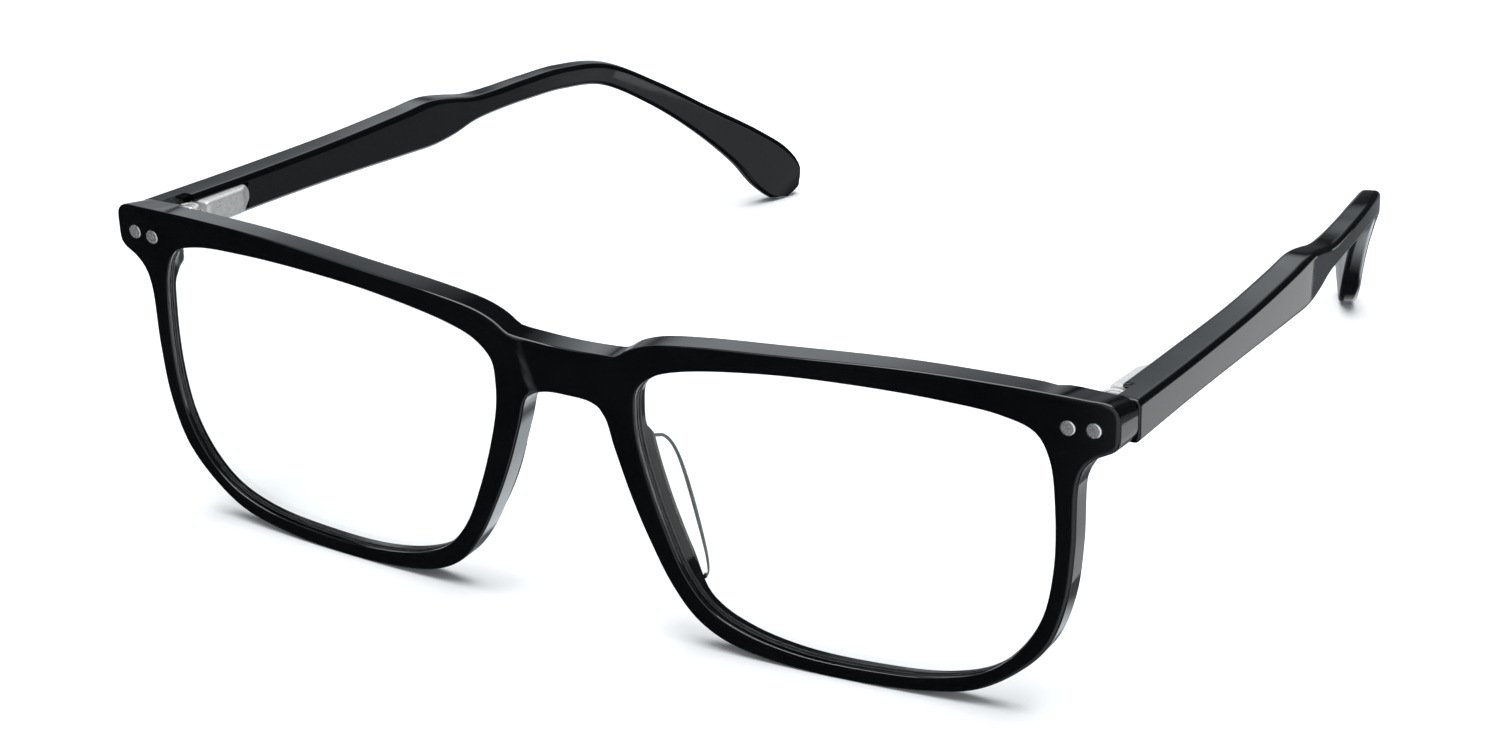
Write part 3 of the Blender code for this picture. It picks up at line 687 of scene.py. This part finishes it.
def front_edges():
    """The loops of the outline, the lens openings and the rivet holes, each with the profile of its wall
    and the share that it takes in the thicker back at the nose."""
    outline = OUTER_HALF + [(-x, z) for x, z in reversed(OUTER_HALF[1:-1])]
    lip_wall = [(0.0, GROOVE_MIDDLE - GROOVE_MOUTH, False),
                (GROOVE_DEPTH, GROOVE_MIDDLE - GROOVE_FLOOR, False),
                (GROOVE_DEPTH, GROOVE_MIDDLE + GROOVE_FLOOR, False),
                (0.0, GROOVE_MIDDLE + GROOVE_MOUTH, False)]
    edges = [(sample_curve(outline, OUTLINE_STEP), wall_profile(EDGE_ROUND, -1.0), 0.0)]
    for side in (1, -1):
        opening = sample_curve([(x * side, z) for x, z in LENS_OPENING][::side], OUTLINE_STEP)
        edges.append((opening, wall_profile(LIP_ROUND, 1.0, lip_wall), 1.0))
    for side in (1, -1):
        for x, z in RIVETS.values():
            hole = [(side * x + dx, z + dz) for dx, dz in circle(RIVET_HOLE, HOLE_SIDES)]
            profile = [(HOLE_EDGE, 0.0, False), (0.0, HOLE_EDGE, False), (0.0, 0.0, True)]
            edges.append((hole, profile, 0.0))
    return edges


def front_mesh():
    """Two faces on a grid, joined by the walls round the outline and the openings."""
    bm = bmesh.new()
    flat_points = []
    flat_edges = []
    pairs = []
    limits = []
    for loop, profile, lens_share in front_edges():
        rings = []
        for offset, depth, from_back in profile:
            moved = offset_loop(loop, offset)
            rings.append([bm.verts.new(front_point(x, z, depth, from_back, lens_share)) for x, z in moved])
        for ring_a, ring_b in zip(rings, rings[1:]):
            bridge(bm, ring_a, ring_b)
        start, count = len(flat_points), len(loop)
        limits.append(offset_loop(loop, profile[0][0]))
        flat_points += limits[-1]
        flat_edges += [(start + i, start + (i + 1) % count) for i in range(count)]
        pairs += list(zip(rings[0], rings[-1]))
    inner = grid_points(limits)
    to_rim = nearest(inner, limits[0])
    to_lens = np.minimum(nearest(inner, limits[1]), nearest(inner, limits[2]))
    for (x, z), share in zip(inner, to_rim / (to_rim + to_lens)):
        flat_points.append((x, z))
        ends = [bm.verts.new(front_point(x, z, 0.0, from_back, smoothstep(share, 0.0, 1.0)))
                for from_back in (False, True)]
        pairs.append(ends)
    triangles = delaunay_2d_cdt([Vector(p) for p in flat_points], flat_edges, [], 0, 1e-6)[2]
    places = np.array(flat_points)
    centres = np.array([places[list(t)].mean(axis=0) for t in triangles])
    for triangle, kept in zip(triangles, between(centres, limits)):
        if kept:
            bm.faces.new([pairs[i][0] for i in triangle])
            bm.faces.new([pairs[i][1] for i in triangle])
    return bm


def front_body():
    """The acetate front, with a recess behind each end piece for the hinge plate."""
    thing = draft("front_acetate", front_mesh())
    for side in (1, -1):
        inner_x, outer_x = sorted((side * (PLATE_INNER - PLATE_GAP), side * (PLATE_OUTER + PLATE_GAP)))
        recess = block((inner_x, PLATE_FRONT - PLATE_GAP, PLATE_LOW - PLATE_GAP),
                       (outer_x, PLATE_BACK + PAST, PLATE_HIGH + PLATE_GAP))
        combine(thing, recess, "DIFFERENCE")
    settle(thing, 1, ACETATE, "front", ["front_frame"])


def lens(side, name):
    """A domed lens with a V edge in the groove; the bands of the edge get a dark grey, painted shade of the
    groove.
    """
    loop = sample_curve(LENS_OPENING, OUTLINE_STEP)

    def ring(scale, offset, depth):
        points = []
        for x, z in offset_loop(loop, offset):
            x = RIM_CENTRE_X + (x - RIM_CENTRE_X) * scale
            z *= scale
            dome = LENS_DOME * (1.0 - scale * scale)
            points.append(Vector((x, arc_y(x) + GROOVE_MIDDLE + depth - dome, z)))
        return points

    edge = -LENS_CLEARANCE
    scales = [LENS_MIDDLE + (1.0 - LENS_MIDDLE) * k / LENS_RINGS for k in range(LENS_RINGS + 1)]
    rings = [ring(s, edge, -LENS_HALF) for s in scales]
    bevel = [ring(1.0, edge, -BEVEL_ROOT), ring(1.0, BEVEL_REACH, -BEVEL_TIP),
             ring(1.0, BEVEL_REACH, BEVEL_TIP), ring(1.0, edge, BEVEL_ROOT)]
    rings += bevel
    rings += [ring(s, edge, LENS_HALF) for s in reversed(scales)]
    bm = loft(rings)
    # The edge's bands take the second finish: a dark grey painted for the groove's shade.
    for k, face in enumerate(bm.faces):
        if LENS_RINGS <= k // len(loop) <= LENS_RINGS + len(bevel):
            face.material_index = 1
    thing = settle(draft(f"clear_lens_{name}", bm), side, LENS, "front", [f"lens_{name}"])
    # Second finish: the painted shade of the groove on the lens edge.
    thing.data.materials.append(LENS_EDGE_PAINTED_SHADE)


def nose_pad(side, name):
    """A clear pad: a fin glued to the back of the rim, splayed out, with a round rear edge."""
    back = Vector((math.sin(PAD_SPLAY), math.cos(PAD_SPLAY), 0.0))
    across = Vector((back.y, -back.x, 0.0))
    rings = []
    for k in range(PAD_SECTIONS + 1):
        t = k / PAD_SECTIONS
        drop = t * PAD_HEIGHT
        root_x = PAD_ROOT_X + PAD_LEAN * drop + PAD_BEND * drop * drop
        root = Vector((root_x, arc_y(root_x) + RIM_THICKNESS + PAD_STANDOFF, PAD_TOP - drop))
        reach = PAD_REACH * math.sqrt(max(math.sin(math.pi * t ** PAD_HIGH_POINT), 0.0)) + PAD_END_REACH
        half = PAD_HALF * (PAD_END_WIDTH + (1.0 - PAD_END_WIDTH) * math.sin(math.pi * t))
        round_start = reach - min(half, 0.7 * reach)
        section = [(-PAD_ROOT_DEPTH, -half), (round_start, -half)]
        for j in range(1, PAD_ROUND_STEPS):
            angle = math.pi * (j / PAD_ROUND_STEPS - 0.5)
            section.append((round_start + (reach - round_start) * math.cos(angle), half * math.sin(angle)))
        section += [(round_start, half), (-PAD_ROOT_DEPTH, half)]
        rings.append([root + back * along + across * wide for along, wide in section])
    bm = loft(rings)
    # The faces of the rear round take the second finish: a painted dark reflection of the frame.
    for k, face in enumerate(bm.faces):
        if PAD_PAINTED_DARK_EDGE_START <= k % len(rings[0]) <= PAD_ROUND_STEPS:
            face.material_index = 1
    thing = settle(draft(f"clear_pad_{name}", bm), side, PAD, "front", [f"nose_pad_{name}"], 50.0)
    # Second finish: the pad's painted dark edge.
    thing.data.materials.append(PAD_PAINTED_DARK_EDGE)


# ---------------------------------------------------------------- hinge

def knuckle(side, low, high):
    """A knuckle between two heights on the pin, with the web that joins it to the plate."""
    reach = PLATE_BACK - WEB_ROOT - PIN[1]
    arc = [math.pi * k / KNUCKLE_STEPS for k in range(KNUCKLE_STEPS + 1)]
    rings = []
    levels = [(METAL_EDGE, low), (0.0, low + METAL_EDGE), (0.0, high - METAL_EDGE), (METAL_EDGE, high)]
    for inset, z in levels:
        radius = KNUCKLE_RADIUS - inset
        outline = [(WEB_HALF - inset, reach)]
        outline += [(radius * math.cos(a), radius * math.sin(a)) for a in arc]
        outline.append((inset - WEB_HALF, reach))
        rings.append([at_pin(side) @ Vector((x, y, z)) for x, y in outline])
    return loft(rings)


def hinge_plate(side, name):
    """The plate behind the end piece, with its two knuckles on the pin."""
    plate_low = (PLATE_INNER, PLATE_FRONT, PLATE_LOW)
    plate_high = (PLATE_OUTER, PLATE_BACK, PLATE_HIGH)
    thing = draft(f"steel_plate_{name}", block(plate_low, plate_high, edge=METAL_EDGE))
    clear_half = EYE_HALF_HEIGHT + KNUCKLE_GAP
    for low, high in ((-KNUCKLE_END, -clear_half), (clear_half, KNUCKLE_END)):
        combine(thing, knuckle(side, low, high), "UNION")
    seat = KNUCKLE_END - HEAD_SEAT
    seat_radius = HEAD_RADIUS + HEAD_GAP
    profile = [(KNUCKLE_BORE, -PAST), (KNUCKLE_BORE, seat), (seat_radius, seat), (seat_radius, PAST)]
    combine(thing, turned(profile, at_pin(side), HOLE_SIDES), "DIFFERENCE")
    for x, z in RIVETS.values():
        hole = turned([(RIVET_HOLE, HOLE_START), (RIVET_HOLE, HOLE_END)], along_y(x, 0.0, z), HOLE_SIDES)
        combine(thing, hole, "DIFFERENCE")
    settle(thing, side, SATIN, "front", [f"hinge_plate_{name}"])


def rivets(side, name):
    """The two rivets of an end piece, with slightly domed heads."""
    for rivet, (x, z) in RIVETS.items():
        front = face_y(x, z) - RIVET_PROUD
        length = PLATE_BACK + RIVET_PAST_PLATE - front
        dome = [(RIVET_RADIUS * math.sin(a), RIVET_DOME * (1.0 - math.cos(a)) - RIVET_DOME)
                for a in (0.12, 0.4, 0.7, 1.0, 1.2)]
        profile = dome + [(RIVET_RADIUS - 0.01, 0.02), (RIVET_RADIUS, 0.07),
                          (RIVET_RADIUS, length - RIVET_EDGE), (RIVET_RADIUS - RIVET_EDGE, length)]
        thing = draft(f"steel_rivet_{rivet}_{name}", turned(profile, along_y(x, front, z)))
        settle(thing, side, HEADS, "front", [f"rivet_{rivet}_{name}"])


def hinge_screw(side, name):
    """The screw that is the hinge's pin, with a slotted head."""
    top = KNUCKLE_END
    bottom = SCREW_END_GAP - KNUCKLE_END
    profile = [(SCREW_RADIUS - METAL_EDGE, bottom), (SCREW_RADIUS, bottom + METAL_EDGE),
               (SCREW_RADIUS, top - HEAD_DEPTH - 0.05), (HEAD_RADIUS, top - HEAD_DEPTH),
               (HEAD_RADIUS, top - 0.08), (HEAD_RADIUS - 0.06, top), (HEAD_RADIUS - 0.2, top + 0.05)]
    thing = draft(f"steel_screw_{name}", turned(profile, at_pin(side)))
    slot = block((-PAST, -SLOT_HALF, top - SLOT_DEPTH), (PAST, SLOT_HALF, top + PAST), at_pin(side))
    combine(thing, slot, "DIFFERENCE")
    settle(thing, side, BRIGHT, f"screw_{name}", [f"hinge_screw_{name}"])


def hinge_slider(side, name):
    """The eye on the screw, with the rod that runs back into the case."""
    half, radius = EYE_HALF_HEIGHT, KNUCKLE_RADIUS - EYE_INSET
    profile = [(radius - METAL_EDGE, -half), (radius, METAL_EDGE - half), (radius, half - METAL_EDGE),
               (radius - METAL_EDGE, half), (KNUCKLE_BORE, half), (KNUCKLE_BORE, -half)]
    thing = draft(f"steel_slider_{name}", turned(profile, at_pin(side), closed=True))
    rod_end = SPRING_END + STOP_GAP + STOP_LENGTH
    rod = turned([(ROD_RADIUS, ROD_START), (ROD_RADIUS, rod_end)], along_temple(), PIN_SIDES)
    combine(thing, rod, "UNION")
    settle(thing, side, BRIGHT, f"slider_{name}", [f"hinge_slider_{name}"])


def coil_spring(side, name):
    """A helix of round wire on the rod, riding with the temple; the stop squeezes the real spring as the
    temple flexes, but this mesh keeps its shape.
    """
    rings = []
    steps = STEPS_PER_TURN * SPRING_TURNS
    matrix = along_temple()
    length = SPRING_END - SPRING_START - 2.0 * SPRING_WIRE
    for k in range(steps + 1):
        angle = 2.0 * math.pi * k / STEPS_PER_TURN
        radial = Vector((math.cos(angle), math.sin(angle), 0.0))
        centre = radial * SPRING_RADIUS + Vector((0.0, 0.0, SPRING_START + SPRING_WIRE + length * k / steps))
        wire = circle(SPRING_WIRE, WIRE_SIDES)
        rings.append([matrix @ (centre + radial * x + Vector((0.0, 0.0, z))) for x, z in wire])
    thing = draft(f"steel_spring_{name}", loft(rings))
    settle(thing, side, BRIGHT, f"temple_{name}", [f"coil_spring_{name}"], 60.0)
    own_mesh(thing)


def spring_case(side, name):
    """The case: rounded at the rear, with a chamber for the spring and a bore for the rod."""
    matrix = along_temple()
    rings = []
    for k in range(CASE_SECTIONS + 1):
        distance = CASE_START + (CASE_END - CASE_START) * math.sin(0.5 * math.pi * k / CASE_SECTIONS)
        rear = min(max(distance - CASE_END + CASE_ROUND, 0.0) / CASE_ROUND, 1.0)
        half_height = CASE_HALF_HEIGHT * (CASE_REAR + (1.0 - CASE_REAR) * math.sqrt(1.0 - rear * rear))
        low = CASE_INNER + CASE_TAPER * smoothstep(distance, CASE_TAPER_START, CASE_END)
        inset = METAL_EDGE if k == 0 else 0.0
        outline = rounded(low + inset, CASE_OUTER, half_height - inset, CASE_EDGE)
        rings.append([matrix @ Vector((x, -z, distance)) for x, z in outline])
    thing = draft(f"steel_case_{name}", loft(rings))
    chamber = block((-CHAMBER_HALF, -CHAMBER_HALF, CHAMBER_START),
                    (CASE_OUTER + PAST, CHAMBER_HALF, CHAMBER_END), matrix)
    combine(thing, chamber, "DIFFERENCE")
    bore = turned([(ROD_BORE, CASE_START - PAST), (ROD_BORE, CHAMBER_START + 1.0)], matrix, PIN_SIDES)
    combine(thing, bore, "DIFFERENCE")
    settle(thing, side, SATIN, f"temple_{name}", [f"spring_case_{name}"])


# ---------------------------------------------------------------- temple

def temple_ring(row, along, inset):
    """A section of the temple: a rounded rectangle across the direction along."""
    y, z, x, height, thickness = row
    out = Vector((along.y, -along.x, 0.0)).normalized()
    up = out.cross(along)
    soft = min(TEMPLE_ROUND, 0.45 * thickness, 0.45 * height)
    half = thickness / 2.0 - inset
    outline = rounded(-half, half, height / 2.0 - inset, soft - 0.5 * inset)
    return [Vector((x, y, z)) + out * a + up * b for a, b in outline]


def temple(side, name):
    """The acetate arm, with the pocket for the case and the room that the hinge turns in."""
    rows = sample_curve([(y, z, x, h, t) for y, x, z, h, t in TEMPLE_STATIONS], TEMPLE_STEP, closed=False)
    rings = []
    for i, row in enumerate(rows):
        before = rows[max(i - 1, 0)]
        after = rows[min(i + 1, len(rows) - 1)]
        along = Vector((after[2] - before[2], after[0] - before[0], after[1] - before[1]))
        along.normalize()
        if i == 0:
            along = Vector((0.0, 1.0, 0.0))
            r = TEMPLE_END_ROUND
            for k in range(TEMPLE_END_STEPS):
                angle = 0.5 * math.pi * k / TEMPLE_END_STEPS
                start = (row[0] + r * (1.0 - math.cos(angle)), *row[1:])
                rings.append(temple_ring(start, along, r * (1.0 - math.sin(angle))))
            row = (row[0] + r, *row[1:])
        rings.append(temple_ring(row, along, 0.0))
        if i == len(rows) - 1:
            for k in range(1, TIP_STEPS):
                angle = 0.5 * math.pi * k / TIP_STEPS
                point = Vector((row[2], row[0], row[1])) + along * (TIP_ROUND * math.sin(angle))
                last = (point.y, point.z, point.x, row[3] * math.cos(angle), row[4] * math.cos(angle))
                rings.append(temple_ring(last, along, 0.0))
    thing = draft(f"acetate_temple_{name}", loft(rings))
    pocket_half = CASE_HALF_HEIGHT + POCKET_GAP
    pocket = block((-2.0 * PAST, -pocket_half, -2.0 * PAST),
                   (CASE_OUTER + POCKET_GAP, pocket_half, CASE_END + POCKET_GAP), along_temple())
    combine(thing, pocket, "DIFFERENCE")
    tongue = block((-2.0 * PAST, -2.0 * PAST, -2.0 * PAST),
                   (CASE_OUTER + TONGUE_SIDE_GAP, CASE_START - TONGUE_BACK_GAP, 2.0 * PAST), at_pin(side))
    combine(thing, tongue, "DIFFERENCE")
    settle(thing, side, ACETATE, f"temple_{name}", [f"temple_{name}"])


def inner_metal(name):
    """The pieces inside the case and the temple keep their CAD shape, with a steel finish."""
    for node in (f"slider_stop_{name}", f"core_wire_{name}"):
        materials = frame["nodes"][node].data.materials
        materials.clear()
        materials.append(BRIGHT)


# ---------------------------------------------------------------- camera, floor and light

def make_camera():
    """The camera at the viewing angle, placed in the design frame and carried over by STANCE."""
    azimuth, elevation = CAMERA_AZIMUTH, CAMERA_ELEVATION
    forward = Vector((-math.sin(azimuth) * math.cos(elevation), math.cos(azimuth) * math.cos(elevation),
                      -math.sin(elevation)))
    level = Vector((math.cos(azimuth), math.sin(azimuth), 0.0))
    upright = level.cross(forward)
    right = math.cos(CAMERA_ROLL) * level + math.sin(CAMERA_ROLL) * upright
    up = math.cos(CAMERA_ROLL) * upright - math.sin(CAMERA_ROLL) * level
    turn = Matrix((right, up, -forward)).transposed()
    place = STANCE @ (Vector(CAMERA_TARGET) - CAMERA_DISTANCE * forward)
    data = bpy.data.cameras.new("camera")
    data.sensor_width = 36.0
    data.lens = CAMERA_LENS
    data.clip_start = 0.01
    thing = bpy.data.objects.new("camera", data)
    bpy.context.scene.collection.objects.link(thing)
    thing.matrix_world = Matrix.Translation(place) @ (STANCE.to_3x3().normalized() @ turn).to_4x4()
    bpy.context.scene.camera = thing


def make_floor():
    """A pale paper floor, just under the glasses, which reflections don't see."""
    nodes = Nodes("floor_paper")
    nodes.wire(Base_Color=(0.93, 0.93, 0.93, 1.0), Roughness=0.7, Specular_IOR_Level=0.2,
               Normal=nodes.bump(nodes.noise(900.0, 2.0), 0.02, 0.0001))
    bm = bmesh.new()
    bmesh.ops.create_grid(bm, x_segments=2, y_segments=2, size=3.0)
    thing = draft("floor", bm)
    thing.location.z = -0.00005
    thing.data.materials.append(nodes.material)
    thing.visible_glossy = False


def make_panel(name, place, look_at, size, radiance):
    """A soft light panel: power is radiance times pi times its area."""
    data = bpy.data.lights.new(name, "AREA")
    data.shape = "RECTANGLE"
    data.size, data.size_y = size
    data.energy = radiance * math.pi * size[0] * size[1]
    thing = bpy.data.objects.new(name, data)
    bpy.context.scene.collection.objects.link(thing)
    thing.location = place
    direction = Vector(look_at) - Vector(place)
    thing.rotation_mode = "QUATERNION"
    thing.rotation_quaternion = direction.to_track_quat("-Z", "Y")
    thing.visible_camera = False


def make_world():
    """A white studio: the camera sees white, and reflections see the glows of STUDIO."""
    world = bpy.data.worlds.new("studio")
    bpy.context.scene.world = world
    world.use_nodes = True
    tree = world.node_tree
    background = tree.nodes["Background"]
    split = tree.nodes.new("ShaderNodeSeparateXYZ")
    tree.links.new(tree.nodes.new("ShaderNodeTexCoord").outputs["Generated"], split.inputs["Vector"])

    def calculate(operation, a, b):
        node = tree.nodes.new("ShaderNodeMath")
        node.operation = operation
        for socket, value in zip(node.inputs, (a, b)):
            if isinstance(value, bpy.types.NodeSocket):
                tree.links.new(value, socket)
            else:
                socket.default_value = value
        return node.outputs["Value"]

    total = STUDIO_BASE
    for radiance, ramps in STUDIO.values():
        glow = radiance
        for axis, dark, bright in ramps:
            node = tree.nodes.new("ShaderNodeMapRange")
            node.interpolation_type = "SMOOTHSTEP"
            node.inputs["From Min"].default_value = dark
            node.inputs["From Max"].default_value = bright
            tree.links.new(split.outputs[axis], node.inputs["Value"])
            glow = calculate("MULTIPLY", node.outputs["Result"], glow)
        total = calculate("ADD", glow, total)
    seen = tree.nodes.new("ShaderNodeLightPath").outputs["Is Camera Ray"]
    strength = calculate("MAXIMUM", total, seen)
    background.inputs["Color"].default_value = STUDIO_COLOUR
    tree.links.new(strength, background.inputs["Strength"])


make_camera()
make_floor()
make_world()
make_panel("overhead", place=(0.0, -0.05, 0.9), look_at=(0.0, 0.0, 0.0), size=(0.9, 0.9), radiance=4.0)
make_panel("right_card", place=(0.085, 0.030, -0.004), look_at=(0.0, 0.030, -0.004), size=(0.12, 0.05),
           radiance=0.9)
bpy.context.scene.view_settings.view_transform = "Standard"

front_body()
for side, name in ((1, "left"), (-1, "right")):
    lens(side, name)
    nose_pad(side, name)
    hinge_plate(side, name)
    rivets(side, name)
    hinge_screw(side, name)
    hinge_slider(side, name)
    coil_spring(side, name)
    spring_case(side, name)
    temple(side, name)
    inner_metal(name)
